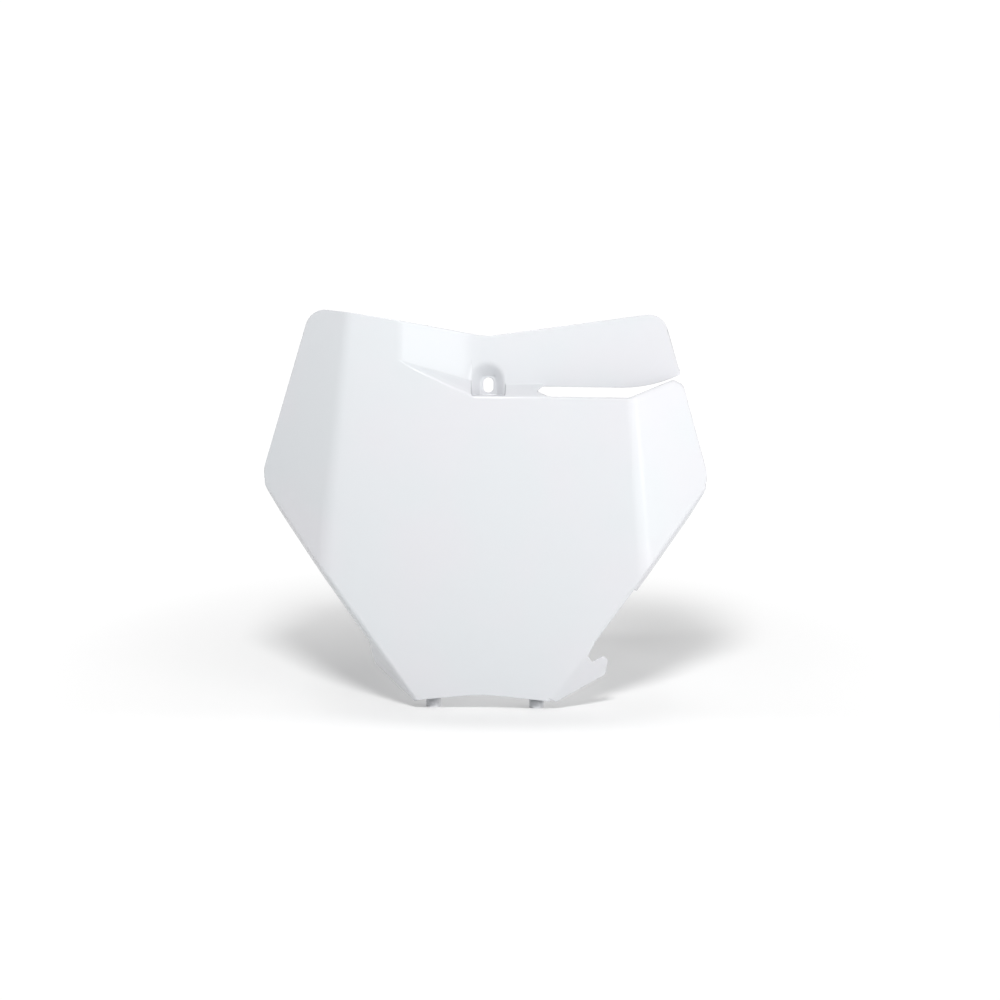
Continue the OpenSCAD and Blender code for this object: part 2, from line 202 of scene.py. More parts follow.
# Depth of the walls under the recess at each height, moved back by t: the nearer of the ledge and the crease, each
# its rise over its slope, and inside the pocket not less than its steep floor.
def wallDepth(x, z, t=0.0):
    ledge = (z - lipLine(x) + t / math.cos(deg("ledgeAngle"))) / ledgeTan
    lean, turn = deg("creaseLean"), deg("creaseAngle")
    rise = z + b["lipDrop"] + (x + b["creaseX"]) * math.tan(turn) + t / (math.cos(turn) * math.cos(lean))
    crease = rise * math.cos(turn) / math.tan(lean)
    (blendIn, blendOut), radius = b["pocketBlend"], b["pocketRadius"] + t
    inPocket = 1 - step(np.abs(x - b["shift"]), radius - blendIn, radius + blendOut)
    floor = (z + b["lipDrop"] + t) * b["pocketFloor"]
    plainWall, pocketWall = softMin(ledge, crease, b["wallSoft"]), np.maximum(floor, np.minimum(ledge, crease))
    return plainWall * (1 - inPocket) + pocketWall * inPocket


# The pocket: arches that shrink and sink evenly from the strip to the seat. The share w of the way in solves
# u^2 + (z - middle(w))^2 = radius(w)^2 over the arch's middle, and u = radius(w) beside it.
def pocketDepth(x, z, t=0.0):
    u, up = np.abs(x - b["shift"]), z - b["pocketRise"]
    radius, shrink, sink = b["pocketRadius"] + t, b["pocketRadius"] - b["seatRadius"], b["pocketRise"] - b["seatRise"]
    square, double = shrink * shrink - sink * sink, -2 * (radius * shrink + up * sink)
    rest = radius * radius - u * u - up * up
    overMiddle = (-double - np.sqrt(np.maximum(double * double - 4 * square * rest, 0))) / (2 * square)
    beside = (radius - u) / shrink
    w = np.where(z > b["pocketRise"] - sink * np.clip(beside, 0, 1), overMiddle, beside)
    run = b["seatDepth"] - b["stripDepth"] - b["pocketStep"]
    wall = b["stripDepth"] + b["pocketStep"] + t + w * run
    return softMin(wall, np.full_like(w, b["seatDepth"] + t), b["seatSoft"])


# The whole front, moved back by t: the sheet, or the recess where that is deeper. The recess is the nearer of its
# walls and what lies behind them.
def shape(x, z, t=0.0):
    fx, fz = slopes(depth, x, z)
    sheet = depth(x, z) + t * np.sqrt(1 + fx * fx + fz * fz)
    back = softMax(strip(x, t), pocketDepth(x, z, t), b["pocketSoft"])
    innerSoft, lipSoft = b["rearSofts"] if t else (b["innerSoft"], b["lipSoft"])
    inner = softMin(wallDepth(x, z, t), back, innerSoft)
    return softMax(sheet, inner, np.clip(back - sheet, b["rampSoft"] / 2, lipSoft)), back, sheet


# The outline as heights over x: its top edge, the wing's upper edge beside the slot, and its lower edge.
tangent = b["rollRadius"] * math.tan((math.pi / 2 - deg("splay")) / 2)
tipRound = corner(shoulder, tip, foot, b["tipRadius"], 40)
extreme = int(np.argmax(tipRound[:, 0]))
tipUpper, tipLower = tipRound[: extreme + 1], tipRound[extreme:][::-1]
halfTop = np.concatenate([corner(notch, shoulder, tip, b["topRadius"]), tipUpper])
notchArc = corner(shoulder * flip, notch, shoulder, b["notchRadius"])
topLine = np.concatenate([(halfTop * flip)[::-1], notchArc, halfTop])
tipTangentS = edgeLength - b["tipRadius"] * math.tan(math.acos(float(unit(shoulder - tip) @ edgeDir)) / 2)
lastS = tipTangentS + math.sqrt(2 * b["tipRadius"] * tangent - tangent ** 2)
footSlope = b["footRise"] / b["footHalf"]
startS = tangent * (edgeOut[1] + footSlope * edgeOut[0]) / (edgeDir[1] + footSlope * edgeDir[0])
lowCorner, lowTip = onEdge(startS, -tangent), onEdge(lastS, -tangent)
pastRoll = tipLower[(tipLower - foot) @ edgeOut < -tangent]
footArc = corner(foot * flip, footMid, foot, b["footMidRadius"])
halfLow = np.concatenate([lowCorner[None], lowTip[None], pastRoll])
lowLine = np.concatenate([(halfLow * flip)[::-1], footArc, halfLow])

# The wing's edge beside the slot follows the lip to a rounded corner at the board's side, a straight line from
# shoulder to tip.
wingEdge = lambda x: np.array([x, float(lipLine(x))])
sideX = lambda z: b["topHalf"] + (b["topRise"] - z) * (b["tipHalf"] - b["topHalf"]) / (b["topRise"] + b["tipDrop"])
wingTip = wingEdge(sideX(0) - b["wingCorner"] - 1)
wingPast = wingTip + np.array([b["wingCorner"], -b["wingCorner"] / 2])
wingStart, wingBend = wingEdge(b["slotStart"]), wingEdge(b["slotTurn"])
wingLine = np.concatenate([[wingStart], corner(wingStart, wingBend, wingTip, b["wingRounds"][0]),
                           corner(wingBend, wingTip, wingPast, b["wingRounds"][1]),
                           [[sideX(wingPast[1]), wingPast[1]]], tipUpper])


# Height of the strip's lower edge: level, and from slotCurve on it lifts on a circle: R - sqrt(R^2 - d^2).
def stripEdge(x):
    lift = np.clip((x - b["slotCurve"]) / b["slotRadius"], 0, 0.99)
    return ledgeRise + b["slotRadius"] * (1 - np.sqrt(1 - lift * lift))


# The strip ends where its lower edge has come up to within stripLeast of the top edge.
probe = np.linspace(b["topHalf"], b["tipHalf"], 600)
stripHeight = np.interp(probe, halfTop[:, 0], halfTop[:, 1]) - stripEdge(probe)
stripEndX = float(probe[np.argmax(stripHeight < b["stripLeast"])])

# Columns of the grid as spans (from, to, how many), closer where the shape turns.
edgeX, lowX, noseX = tipRound[extreme, 0] - 0.02, lowCorner[0], b["slotStart"] + b["noseTop"]
rollEndX = float(onEdge(b["rollEnd"], -tangent)[0])
spans = [
    (-edgeX, -edgeX + 0.9, 6), (-edgeX + 0.9, -124, 8), (-124, -110, 8), (-110, -94, 26), (-94, -66, 16),
    (-66, -lowX, 44), (-lowX, -13, 22), (-13, 15.4, 66), (15.4, noseX - 3, 15), (noseX - 3, noseX, 5),
    (noseX, noseX + 4, 6), (noseX + 4, rollEndX - 0.12, 34), (rollEndX - 0.12, rollEndX + 0.12, 2),
    (rollEndX + 0.12, stripEndX, 30), (stripEndX, edgeX - 6, 9), (edgeX - 6, edgeX - 0.9, 8), (edgeX - 0.9, edgeX, 6),
]
columns = np.concatenate([np.linspace(p, q, n, endpoint=False) for p, q, n in spans] + [[edgeX]])
columns = np.sort(np.append(columns, lowX))
nCol = len(columns)
isSlot, isStrip = columns > noseX - tiny, columns < stripEndX + tiny

# Heights at each column: the outline, the lip, and the base of the walls, where the strip or the pocket starts.
zLow, zTop = np.interp(columns, lowLine[:, 0], lowLine[:, 1]), np.interp(columns, topLine[:, 0], topLine[:, 1])
zWing = np.interp(columns, wingLine[:, 0], wingLine[:, 1])
frontAt = depth(columns, np.zeros(nCol))
behind = np.maximum(strip(columns), frontAt)


# Height at which the crease's plane reaches depth y: a slanted line, plus y times its slope.
def creaseAt(y):
    turn, lean = deg("creaseAngle"), deg("creaseLean")
    return -b["lipDrop"] - (columns + b["creaseX"]) * math.tan(turn) + y * math.tan(lean) / math.cos(turn)


pocketed = np.abs(columns - b["shift"]) < b["pocketRadius"]
zLip = np.maximum(-b["lipDrop"] + frontAt * ledgeTan, creaseAt(frontAt))
zBase = np.maximum(-b["lipDrop"] + behind * ledgeTan, creaseAt(behind))
zBase = np.where(pocketed, -b["lipDrop"] + b["seatDepth"] / b["pocketFloor"], zBase)
toSlot = np.where(isSlot, 1.0, step(columns, noseX - 3, noseX + 2))
zLip = zLip + (zWing - zLip) * toSlot
zBase = zBase + (stripEdge(columns) - zBase) * toSlot

# Left of the ramp the rows keep their shares of the height. Where the board is low, the bands close up by room.
fullHeight = 40
room = np.clip((zTop - zLow) / fullHeight, 0, 1)
atRamp = np.argmin(np.abs(columns + b["rampStart"]))
ratio = (zLip[atRamp] - zLow[atRamp]) / (zTop[atRamp] - zLow[atRamp])
plain = columns < -b["rampStart"]
zLip = np.where(plain, zLow + ratio * (zTop - zLow), zLip)
zBase = np.where(plain, zLip, zBase)
zBase = np.maximum(zBase, zLip + b["leastWall"] * room)
lipRows, wallRows, baseRows = b["wallRows"]
ease = lambda n: (1 - np.cos(np.pi * np.linspace(0, 1, n + 1))) / 2  # closer at both ends
mix = lambda p, q, f: p[:, None] + (q - p)[:, None] * f[None, :]     # rows from heights p to heights q
zBand, zAbove = zLip - b["lipBand"] * room, zBase + b["baseBand"] * room
zEnd = np.maximum(zTop, zAbove + 0.1 * room)
zOn = np.concatenate([
    mix(zLow, zBand, np.linspace(0, 1, b["faceRows"] + 1))[:, :-1],
    mix(zBand, zLip, np.linspace(0, 1, lipRows + 1))[:, :-1],
    mix(zLip, zBase, ease(wallRows))[:, :-1],
    mix(zBase, zAbove, np.linspace(0, 1, baseRows + 1))[:, :-1],
    mix(zAbove, zEnd, np.linspace(0, 1, b["stripRows"] + 1) ** b["stripEase"])], axis=1)
rowLip = b["faceRows"] + lipRows
rowBase = rowLip + wallRows
nRow = zOn.shape[1]

# The slot's nose: near its left end the columns shift with the row, and so draw its pointed end.
nose = {"rows": 10.0, "reach": 12}
rowNumber = np.arange(nRow)
across = np.repeat(columns[:, None], nRow, axis=1)
share = np.clip((rowNumber - rowLip) / wallRows, 0, 1)
upperNose, lowerNose = -b["noseTop"] * (2 - 2 * share), b["slotNose"] - b["noseTop"] - share * 2 * b["slotNose"]
noseShift = np.where(share < 0.5, lowerNose, upperNose)
noseShift = noseShift * np.clip(1 - (rowLip - rowNumber) / nose["rows"], 0, 1)
across = across + np.clip(1 - np.abs(columns - noseX) / nose["reach"], 0, 1)[:, None] * noseShift[None, :]


# The two sides of the sheet on the same grid: t is how far behind the front it lies. Beside the slot the face
# ends at a lip with a rounded edge, r - sqrt(r^2 - d^2), and the strip starts anew.
def sheetSide(t):
    x, z, r = across, zOn, b["lipRound"]
    whole, back, sheet = shape(x, z, t)
    rowAt = rowNumber[None, :]
    near = np.clip(z - (zLip[:, None] - r), 0, r - 0.05)
    lipRound = 0.0 if t else r - np.sqrt(r ** 2 - near * near)
    slotSide = np.where(rowAt <= rowLip, sheet + lipRound, back)
    y = np.where(isSlot[:, None] & ((rowAt <= rowLip) | (rowAt >= rowBase)), slotSide, whole)
    if t:
        # Over the rolled edge the wall goes back square to the sheet, so that it meets the roll's inside.
        fx, fz = slopes(depth, x, z)
        lean = t * fx / np.sqrt(1 + fx * fx + fz * fz) * np.clip(1 - rowAt / b["leanRows"], 0, 1) * rollCol[:, None]
        x, y = x - lean, y + depth(x - lean, z) - depth(x, z)
    return np.stack([x, y, z], -1)


# Depth of the rolled edge's rear rim: rollLow behind the sheet, going evenly over to rollTip at the tip.
def rim(s):
    start = b["tabAt"] + b["tabRun"]
    p = onEdge(s, 0 * s)
    toTip = np.clip((s - start) / (edgeLength - start), 0, 1)
    return depth(p[..., 0], p[..., 1]) + b["rollLow"] + (b["rollTip"] - b["rollLow"]) * toTip


# The tab as depths over s, and the columns that carry a rolled edge.
footY = float(depth(foot[0], foot[1]))
tabPeak = np.array([b["tabAt"], footY + b["tabDepth"]])
tabFar, tabStart = tabPeak + b["tabFlat"], np.array([0.0, footY + b["rollFoot"]])
tabEnd = np.array([b["tabAt"] + b["tabRun"], float(rim(np.array(b["tabAt"] + b["tabRun"])))])
tabPast = tabEnd + [b["tabTail"], 0.0]
tabCorners = [(tabStart, tabPeak, tabFar), (tabPeak, tabFar, tabEnd), (tabFar, tabEnd, tabPast)]
tabLine = np.concatenate([[tabStart]] + [corner(*c, r, 6) for c, r in zip(tabCorners, b["tabRounds"])])
rollCol = np.abs(columns) > lowX - tiny
colS = (np.abs(columns) - foot[0] + tangent * edgeOut[0]) / edgeDir[0]
onRoll = rollCol & (colS < lastS + b["rollPast"])
rollArc, rollFlange = b["rollRows"]
nRoll = rollArc + rollFlange


# The sheet's own point at s along the lower edge.
def edgePoint(s):
    x, z = onEdge(s, 0 * s).T
    return np.stack([x, depth(x, z), z], -1)


# The sheet's normal towards the front, (slope x, -1, slope z) over its length.
def frontNormal(x, z):
    fx, fz = slopes(depth, x, z)
    return unit(np.stack([fx, -np.ones_like(fx), fz], -1))


# The rolled edge beside each column, t behind its front: an arc of radius r from the face's normal to the flange's,
# as middle + (r - t) * normal, then straight along the flange to the rear rim. Near the tip it shortens to a cut
# edge. It leaves the sheet at s0 and slides evenly to s1 on its way, so that the rim starts at the very foot.
def rolledSide(t):
    s0 = np.clip(colS, startS, lastS)
    s1 = (s0 - startS) * lastS / (lastS - startS)
    onSheet = edgePoint(s0)
    along = unit(edgePoint(s0 + 0.5) - edgePoint(s0 - 0.5))
    out = np.array([edgeOut[0], 0, edgeOut[1]])
    flange = math.cos(deg("splay")) * np.array([0, 1.0, 0]) + math.sin(deg("splay")) * out
    faceWay = frontNormal(onSheet[:, 0], onSheet[:, 2])
    flangeWay = unit(np.cross(along, flange[None, :]))
    flangeWay = flangeWay * np.sign(flangeWay @ out)[:, None]
    cosTurn = np.sum(faceWay * flangeWay, -1)
    turn, r = np.arccos(cosTurn), b["rollRadius"]
    middle = onSheet - r * (faceWay + flangeWay) / (1 + cosTurn)[:, None]
    arcEnd = middle + r * flangeWay
    arcLong = r * turn

    # How long the roll is at each column: in full, or only to where the tip's round cuts it.
    pastTangent = np.clip(s0 - tipTangentS, 0, b["cutReach"])
    cut = np.clip(b["tipRadius"] - np.sqrt(b["tipRadius"] ** 2 - pastTangent ** 2), 0, tangent)
    cutLong = r * np.arcsin(np.clip((tangent - cut) / r, 0, 1)) * np.clip(turn / b["cutTurn"], 0.5, 1)
    onTab = (columns < 0) & (s1 < tabEnd[0] + b["tabBlend"])
    rear = np.where(onTab, np.interp(s1, tabLine[:, 0], tabLine[:, 1]), rim(s1))
    fullLong = arcLong + np.maximum(rear - arcEnd[:, 1], b["leastFlange"]) / math.cos(deg("splay"))
    keep = 1 - step(s0, tipTangentS - b["fade"], lastS)
    has = (columns < 0) | (s0 > b["rollEnd"])
    long = np.where(has, cutLong + (fullLong - cutLong) * keep, cutLong)

    # The way along it for each row: the rows split between arc and flange, or even where there is hardly a flange.
    k = np.arange(1, nRoll + 1)
    overArc = np.minimum(long, arcLong)[:, None] * np.minimum(k / rollArc, 1)[None, :]
    overFlange = arcLong[:, None] + (long - arcLong)[:, None] * (k[None, :] - rollArc) / rollFlange
    splitWay = np.where(k[None, :] <= rollArc, overArc, overFlange)
    evenWay = long[:, None] * k[None, :] / nRoll
    way = np.where((long > arcLong + 1.0)[:, None], splitWay, evenWay)
    a = np.minimum(way, arcLong[:, None]) / r
    past = np.maximum(way - arcLong[:, None], 0)
    normal = np.sin(turn[:, None] - a)[..., None] * faceWay[:, None, :] + np.sin(a)[..., None] * flangeWay[:, None, :]
    normal = normal / np.sin(turn)[:, None, None]
    slide = ((s1 - s0)[:, None] * (way / np.maximum(long, tiny)[:, None]))[..., None] * along[:, None, :]
    pts = middle[:, None, :] + (r - t) * normal + past[..., None] * flange + slide

    # Where the roll is very short it shrinks to the sheet's own edge.
    x, z = onEdge(s0, -tangent + 0 * s0).T
    root = np.stack([x, depth(x, z), z], -1) - t * frontNormal(x, z)
    pts = root[:, None, :] + (pts - root[:, None, :]) * step(long, 0.0, b["rollStart"])[:, None, None]
    pts[..., 0] *= np.sign(columns)[:, None]
    return pts[:, ::-1, :]


# Each column from the rolled edge's rear rim over the face to the top edge.
def wholeGrid(t):
    return np.concatenate([rolledSide(t), sheetSide(t)], axis=1)


# Both sides, and which of the grid's faces are there: not past the roll's ends, in the slot or beyond the strip.
gridFront, gridBack = wholeGrid(0.0), wholeGrid(b["wall"])
nAll = gridFront.shape[1]
index = np.arange(nCol * nAll).reshape(nCol, nAll)
there = np.ones((nCol - 1, nAll - 1), bool)
there[:, :nRoll] = (onRoll[:-1] & onRoll[1:] & (np.sign(columns[:-1]) == np.sign(columns[1:])))[:, None]
cutRow = nRoll + rowLip
there[:, cutRow:nRoll + rowBase] &= ~isSlot[1:, None] | ~isSlot[:-1, None]
there[:, cutRow:] &= isStrip[1:, None]

# The screw hole: a ring of faces from a block of the grid in to the oval.
hole = {"half": 4.3, "low": -5.2, "high": 5.0, "rings": 5, "flatten": 2.5}
zMid = gridFront[np.argmin(np.abs(columns - b["shift"])), :, 2]
left, right = np.searchsorted(columns, [b["shift"] - hole["half"], b["shift"] + hole["half"]])
low, high = (nRoll + int(np.argmax(zMid[nRoll:] > hole[name])) for name in ("low", "high"))
there[left:right, low:high] = False
loop = np.concatenate([index[left:right, low], index[right, low:high],
                       index[right:left:-1, high], index[left, high:low:-1]])


# Rings from the block's edge in to the oval, each an even share of the way. In a given direction the oval's edge is
# at half / |way x| on its straight sides and at |way z| * straight + sqrt(half^2 - (straight * way x)^2) on its ends.
def ovalRing(points, t):
    edge, centre = points[loop], [b["shift"], 0.0]
    way = unit(edge[:, [0, 2]] - centre)
    half, straight = b["holeWidth"] / 2, (b["holeLength"] - b["holeWidth"]) / 2
    side = half / np.maximum(np.abs(way[:, 0]), tiny)
    onSide = np.abs(side * way[:, 1]) <= straight
    end = np.abs(way[:, 1]) * straight + np.sqrt(np.maximum(half ** 2 - (straight * way[:, 0]) ** 2, 0))
    oval = way * np.where(onSide, side, end)[:, None] + centre
    f = np.linspace(0, 1, hole["rings"] + 1)[1:, None, None]
    flat = edge[None, :, [0, 2]] * (1 - f) + oval[None] * f
    toSeat = np.minimum(f[..., 0] * hole["flatten"], 1)
    y = edge[None, :, 1] + (b["seatDepth"] + t - edge[None, :, 1]) * toSeat
    return np.stack([flat[..., 0], y, flat[..., 1]], -1).reshape(-1, 3)


# All points of either side, and all faces: those of the grid and those of the rings around the hole.
frontPts, backPts = gridFront.reshape(-1, 3), gridBack.reshape(-1, 3)
nGrid, nLoop = len(frontPts), len(loop)
frontPts = np.concatenate([frontPts, ovalRing(frontPts, 0.0)])
backPts = np.concatenate([backPts, ovalRing(backPts, b["wall"])])
quads = np.stack([index[:-1, :-1], index[1:, :-1], index[1:, 1:], index[:-1, 1:]], -1)[there]
rings = np.concatenate([loop[None], nGrid + np.arange(hole["rings"] * nLoop).reshape(hole["rings"], nLoop)])
ringNext = np.roll(rings, -1, axis=1)
ringQuads = np.stack([rings[:-1], ringNext[:-1], ringNext[1:], rings[1:]], -1).reshape(-1, 4)
quads = np.concatenate([quads, ringQuads])


# A sheet closed to a solid: the front faces, the same faces turned over behind, and a rim with rounded edges along
# every open edge. The round takes e from the sheet and e from the thickness, and its middle is at
# e * (1 - 1 / sqrt 2) from both.
def closeSheet(front, back, faces, e=0.4):
    n = len(front)
    edges = np.concatenate([faces[:, [k, (k + 1) % faces.shape[1]]] for k in range(faces.shape[1])])
    code, twin = edges[:, 0] * n + edges[:, 1], edges[:, 1] * n + edges[:, 0]
    openEdges = edges[~np.isin(code, twin)]
    i, j = openEdges.T
    through = unit(back - front + nearZero)
    out = np.cross(front[j] - front[i], -through[i])
    outAt = np.zeros_like(front)
    np.add.at(outAt, i, out)
    np.add.at(outAt, j, out)
    rimIds = np.unique(openEdges)
    onRim = np.zeros(n, bool)
    onRim[rimIds] = True
    inner = edges[onRim[edges[:, 0]] & ~onRim[edges[:, 1]]]
    roomAt = np.full(n, 2 * e)
    np.minimum.at(roomAt, inner[:, 0], np.linalg.norm(front[inner[:, 0]] - front[inner[:, 1]], axis=1))
    size = np.minimum(e, 0.5 * roomAt[rimIds])[:, None]
    inward = through[rimIds]

    # Outward along the sheet's own tangent plane, where the rounds start: out - (out . normal) * normal.
    def outAlong(points):
        facing = np.cross(points[faces[:, 2]] - points[faces[:, 0]], points[faces[:, -1]] - points[faces[:, 1]])
        normal = np.zeros_like(points)
        for k in range(faces.shape[1]):
            np.add.at(normal, faces[:, k], facing)
        normal = unit(normal[rimIds] + nearZero)
        level = outAt[rimIds] - normal * np.sum(outAt[rimIds] * normal, -1, keepdims=True)
        return unit(level + nearZero)

    outFront, outBack = outAlong(front), outAlong(back)
    frontEdge, backEdge, cut = front[rimIds].copy(), back[rimIds].copy(), size * roundCut
    loops = [frontEdge - outFront * cut + inward * cut, frontEdge + inward * size,
             backEdge - inward * size, backEdge - outBack * cut - inward * cut]
    front, back = front.copy(), back.copy()
    front[rimIds] -= outFront * size
    back[rimIds] -= outBack * size
    place = np.zeros(n, int)
    place[rimIds] = np.arange(len(rimIds))
    ids = [np.arange(n)] + [2 * n + k * len(rimIds) + place for k in range(len(loops))] + [n + np.arange(n)]
    rims = [np.stack([p[j], p[i], q[i], q[j]], -1) for p, q in zip(ids[:-1], ids[1:])]
    return np.concatenate([front, back] + loops), [faces, faces[:, ::-1] + n] + rims


boardPts, boardFaces = closeSheet(frontPts, backPts, quads)
print("board sheet:", len(boardPts), "points")

# The hook arm: a sheet that leaves the face over a bend and leans back, drawn in steps along the lower edge and out
# from it.
arm = {
    "angle": 35.0, "radius": 4.5, "reach": 17.0, "at": 31.0, "hookRise": 8.0, "mouth": 9.0, "throat": 4.4,
    "tipWidth": 3.6, "footS": 1.6, "footN": 2.8, "root": 3.0, "start": 0.4, "rounds": (1.0, 1.0, 1.5, 1.5, 2.5),
    "innerN": -3.3, "sunkTo": -2.5, "sink": 0.3, "grid": 0.9, "gridShare": 0.6, "edgeGap": 0.4,
}


# Depth of the arm t behind its front: the face's slope, an arc of the bend's radius less t, then the leaning plane.
# Its inner end sinks into the wall from both sides, so that no two faces lie in one plane.
def armDepth(s, n, t=0.0, h=0.05):
    onFace, ahead = onEdge(s, 0 * s), onEdge(s, 0 * s + h)
    y0 = depth(onFace[..., 0], onFace[..., 1])
    slope = (depth(ahead[..., 0], ahead[..., 1]) - y0) / h
    lean = math.tan(math.radians(arm["angle"]))
    faceWay = np.stack([-slope, np.ones_like(slope)], -1) / np.sqrt(1 + slope * slope)[..., None]
    armWay = np.stack([-lean + 0 * slope, np.ones_like(slope)], -1) / math.hypot(1, lean)
    onePlusCos = (1 + np.sum(faceWay * armWay, -1))[..., None]
    middle = np.stack([0 * slope, y0], -1) + arm["radius"] * (faceWay + armWay) / onePlusCos
    r = arm["radius"] - t
    first, last = middle - r * faceWay, middle - r * armWay
    arc = middle[..., 1] - np.sqrt(np.maximum(r * r - (n - middle[..., 0]) ** 2, 0))
    before, after = first[..., 1] + (n - first[..., 0]) * slope, last[..., 1] + (n - last[..., 0]) * lean
    y = np.where(n < first[..., 0], before, np.where(n < last[..., 0], arc, after))
    return y + arm["sink"] * (1 - step(n, arm["innerN"], arm["sunkTo"])) * (1 if t == 0 else -1)


# Which points lie inside the ring: those from which a line to one side crosses it an odd number of times.
def insideOf(ring, points):
    p, q = ring, np.roll(ring, -1, axis=0)
    crosses = (p[None, :, 1] > points[:, None, 1]) != (q[None, :, 1] > points[:, None, 1])
    rise = np.where(q[:, 1] == p[:, 1], 1, q[:, 1] - p[:, 1])
    where = p[None, :, 0] + (points[:, None, 1] - p[None, :, 1]) * (q - p)[None, :, 0] / rise[None, :]
    return (crosses & (points[:, None, 0] < where)).sum(1) % 2 == 1


# The arm's outline with its corners made round, filled with a grid and cut into triangles, and given its depth.
def armSheet(a):
    above = a["at"] + 4 * a["root"]
    inner, deep = [a["at"] + a["root"], a["footS"]], [a["at"] + a["root"] / 2, a["footS"] + a["throat"]]
    tipIn = [a["at"] + a["hookRise"], a["mouth"]]
    tipOut, outer = [tipIn[0], a["mouth"] + a["tipWidth"]], [a["at"], a["reach"]]
    low, top = [a["footS"], a["footN"]], [above, 0.0]
    turns = [top, inner, deep, tipIn, tipOut, outer, low]
    rounded = [corner(p, q, r, size, 8) for p, q, r, size in zip(turns, turns[1:], turns[2:], a["rounds"])]
    line = np.concatenate([[[a["start"], a["innerN"]], [above, a["innerN"]], top]] + rounded + [[low]])
    ring = []
    for p, q in zip(line, np.roll(line, -1, axis=0)):
        k = max(1, int(np.linalg.norm(q - p) / a["grid"]))
        ring += [p + (q - p) * f / k for f in range(k)]
    ring = np.array(ring)
    gridS, gridN = np.meshgrid(np.arange(a["grid"], above, a["grid"]),
                               np.arange(a["innerN"] + 0.5, a["reach"], a["grid"] * a["gridShare"]))
    grid = np.stack([gridS.ravel(), gridN.ravel()], -1)
    apart = np.linalg.norm(grid[:, None] - ring[None], axis=2).min(1) > a["edgeGap"]
    pts = np.concatenate([ring, grid[insideOf(ring, grid) & apart]])
    loopEdges = [(k, (k + 1) % len(ring)) for k in range(len(ring))]
    out = delaunay_2d_cdt([Vector(v) for v in pts.tolist()], loopEdges, [], 1, 1e-5)
    flat = np.array([tuple(v) for v in out[0]])
    tris = np.array([f for f in out[2] if len(f) == 3])
    one, two = flat[tris[:, 1]] - flat[tris[:, 0]], flat[tris[:, 2]] - flat[tris[:, 0]]
    wrongWay = one[:, 0] * two[:, 1] - one[:, 1] * two[:, 0] > 0
    tris = np.where(wrongWay[:, None], tris[:, ::-1], tris)
    xz = onEdge(flat[:, 0], np.zeros(len(flat))) + flat[:, 1:2] * edgeOut
    side = lambda t: np.stack([xz[:, 0], armDepth(flat[:, 0], flat[:, 1], t), xz[:, 1]], -1)
    return closeSheet(side(0.0), side(b["wall"]), tris)


armPts, armFaces = armSheet(arm)
print("hook arm:", len(armPts), "points")

# The pegs: a turned pin under a small shelf, and two webs that tie the shelf to the back of the face.
pegs = {
    "spacing": 59.6, "diameter": 8.4, "reach": 6.1, "depth": 9.5, "webHeight": 20.0, "web": 2.0, "shelfRise": 4.4,
    "bevel": 0.8, "margin": 1.0, "steps": 48, "shelfIn": 0.9, "shelfBack": 0.2, "shelfLift": 0.05,
    "shelfRound": 0.3, "webRound": 0.35,
}


# A profile of (radius, height) turned about z: radius * cos, radius * sin and height, closed at both ends.
def lathe(profile, steps, at):
    turn = np.linspace(0, 2 * np.pi, steps, endpoint=False)
    r, z = np.array(profile).T
    pts = np.stack([r[:, None] * np.cos(turn), r[:, None] * np.sin(turn), np.repeat(z[:, None], steps, 1)], -1) + at
    ids = np.arange(len(r) * steps).reshape(len(r), steps)
    nextIds = np.roll(ids, -1, axis=1)
    around = np.stack([ids[:-1], nextIds[:-1], nextIds[1:], ids[1:]], -1).reshape(-1, 4)
    return pts.reshape(-1, 3), [around, ids[0][None, ::-1], ids[-1][None]]


# An outline in y and z carried straight from x0 to x1.
def prism(outlineYZ, x0, x1):
    o = np.array(outlineYZ)
    n = len(o)
    pts = np.concatenate([np.stack([np.full(n, x), o[:, 0], o[:, 1]], -1) for x in (x0, x1)])
    k = np.arange(n)
    after = (k + 1) % n
    return pts, [k[None, ::-1], (k + n)[None], np.stack([k, after, after + n, k + n], -1)]


# For each peg a pin, a shelf and two webs, as (points, faces, edge round). They start half a wall inside the face.
def pegParts(g):
    parts = []
    half, r = g["spacing"] / 2, g["diameter"] / 2
    top, low = -b["footDrop"] + g["shelfRise"], -b["footDrop"] - g["reach"]
    reach, wide = g["depth"] + r + g["margin"], g["diameter"] + 2 * g["web"]
    frontY, cut = float(crown(half)) + b["wall"] / 2, g["bevel"] * roundCut
    pin = [(r - g["bevel"], low), (r - cut, low + cut), (r, low + g["bevel"]), (r, low + g["bevel"] + 0.3),
           (r, top + g["web"] / 2)]
    shelfBack, shelfLow, shelfTop = reach - g["shelfBack"], top + g["shelfLift"], top + g["web"]
    shelf = [(frontY, shelfLow), (shelfBack, shelfLow), (shelfBack, shelfTop), (frontY, shelfTop)]
    web = [(frontY, top), (reach, top), (reach, top + g["web"] + g["margin"]), (frontY, top + g["webHeight"])]
    for x in (b["shift"] - half, b["shift"] + half):
        parts.append((*lathe(pin, g["steps"], [x, g["depth"], 0]), 0.0))
        parts.append((*prism(shelf, x - wide / 2 + g["shelfIn"], x + wide / 2 - g["shelfIn"]), g["shelfRound"]))
        for x0 in (x - wide / 2, x + wide / 2 - g["web"]):
            parts.append((*prism(web, x0, x0 + g["web"]), g["webRound"]))
    return parts


# How the parts are cleaned and put together; lengths in metres.
joining = {"merge": 1e-6, "sliver": 2e-5, "sharpAngle": 0.5, "roundSteps": 2, "normalWeight": 50}


